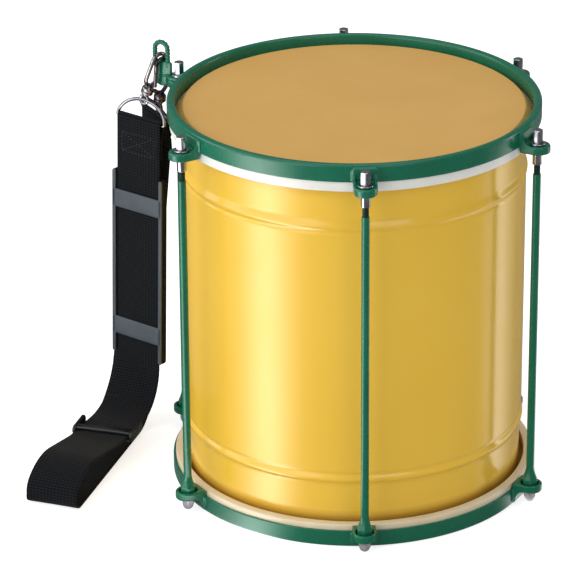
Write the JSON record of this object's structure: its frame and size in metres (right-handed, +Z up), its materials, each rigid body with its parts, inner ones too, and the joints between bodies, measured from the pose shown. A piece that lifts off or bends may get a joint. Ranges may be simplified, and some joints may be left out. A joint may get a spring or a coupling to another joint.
{
  "type": "repinique drum",
  "caption": "Two-headed metal hand drum with rod-tensioned hoops, hung on a webbing strap with snap hooks, a grip pad and a slider.",
  "frame": {"origin": "centre of the batter head, on its playing face", "axes": "+Z up along the drum axis, out of the batter head; one tension rod stands on -Y and the strap bracket is on the rod at 150 degrees from +X"},
  "size_m": [0.4595, 0.3714, 0.3774],
  "materials": {
    "yellow_paint": "gloss",
    "green_paint": "gloss",
    "head_film": "satin",
    "aluminium": "satin",
    "plated_steel": "polished",
    "dark_plating": "polished",
    "webbing": "woven",
    "pad_rubber": "matt",
    "slider_plastic": "satin"
  },
  "bodies": {
    "drum": {"shell": "yellow_paint", "batter_film": "head_film", "batter_flesh_hoop": "aluminium", "batter_hoop": "green_paint", "resonant_film": "head_film", "resonant_flesh_hoop": "aluminium", "resonant_hoop": "green_paint", "tension_rod_1": "green_paint", "tension_washer_1": "plated_steel", "foot_nut_1": "plated_steel", "tension_rod_2": "green_paint", "tension_washer_2": "plated_steel", "foot_nut_2": "plated_steel", "tension_rod_3": "green_paint", "tension_washer_3": "plated_steel", "foot_nut_3": "plated_steel", "tension_rod_4": "green_paint", "tension_washer_4": "plated_steel", "foot_nut_4": "plated_steel", "tension_rod_5": "green_paint", "tension_washer_5": "plated_steel", "foot_nut_5": "plated_steel", "tension_rod_6": "green_paint", "tension_washer_6": "plated_steel", "foot_nut_6": "plated_steel", "strap_bracket": "green_paint", "hook_body_1": "plated_steel", "hook_swivel_1": "plated_steel", "strap_ring_1": "plated_steel", "hook_body_2": "dark_plating", "hook_swivel_2": "dark_plating", "strap_ring_2": "dark_plating", "strap_webbing": "webbing"},
    "nut_1": {"tension_nut_1": "plated_steel"},
    "nut_2": {"tension_nut_2": "plated_steel"},
    "nut_3": {"tension_nut_3": "plated_steel"},
    "nut_4": {"tension_nut_4": "plated_steel"},
    "nut_5": {"tension_nut_5": "plated_steel"},
    "nut_6": {"tension_nut_6": "plated_steel"},
    "gate_1": {"hook_gate_1": "plated_steel"},
    "gate_2": {"hook_gate_2": "dark_plating"},
    "pad": {"shoulder_pad": "pad_rubber"},
    "slider": {"strap_slider": "slider_plastic"}
  },
  "joints": [
    {"name": "nut_1_turn", "type": "hinge", "parent": "drum", "child": "nut_1", "pos_m": [0, -0.1745, 0], "axis": [0, 0, 1], "continuous": true},
    {"name": "nut_2_turn", "type": "hinge", "parent": "drum", "child": "nut_2", "pos_m": [0.15112, -0.08725, 0], "axis": [0, 0, 1], "continuous": true},
    {"name": "nut_3_turn", "type": "hinge", "parent": "drum", "child": "nut_3", "pos_m": [0.15112, 0.08725, 0], "axis": [0, 0, 1], "continuous": true},
    {"name": "nut_4_turn", "type": "hinge", "parent": "drum", "child": "nut_4", "pos_m": [0, 0.1745, 0], "axis": [0, 0, 1], "continuous": true},
    {"name": "nut_5_turn", "type": "hinge", "parent": "drum", "child": "nut_5", "pos_m": [-0.15112, 0.08725, 0], "axis": [0, 0, 1], "continuous": true},
    {"name": "nut_6_turn", "type": "hinge", "parent": "drum", "child": "nut_6", "pos_m": [-0.15112, -0.08725, 0], "axis": [0, 0, 1], "continuous": true},
    {"name": "gate_1_turn", "type": "hinge", "parent": "drum", "child": "gate_1", "pos_m": [-0.1726, 0.10475, -0.01095], "axis": [0.6132, -0.7333, -0.2936], "range_deg": [0, 8], "stiffness_Nm_per_rad": 0.02, "springref_deg": -8.59},
    {"name": "gate_2_turn", "type": "hinge", "parent": "drum", "child": "gate_2", "pos_m": [-0.17393, 0.09293, -0.01684], "axis": [-0.6387, 0.7638, 0.0935], "range_deg": [0, 14], "stiffness_Nm_per_rad": 0.02, "springref_deg": -8.59},
    {"name": "pad_slide", "type": "slide", "parent": "drum", "child": "pad", "axis": [0.0257, 0.0404, 0.9989], "range_m": [-0.003, 0.017]},
    {"name": "slider_slide", "type": "slide", "parent": "drum", "child": "slider", "axis": [0.4294, 0.9031, 0], "range_m": [-0.012, 0.004]}
  ]
}
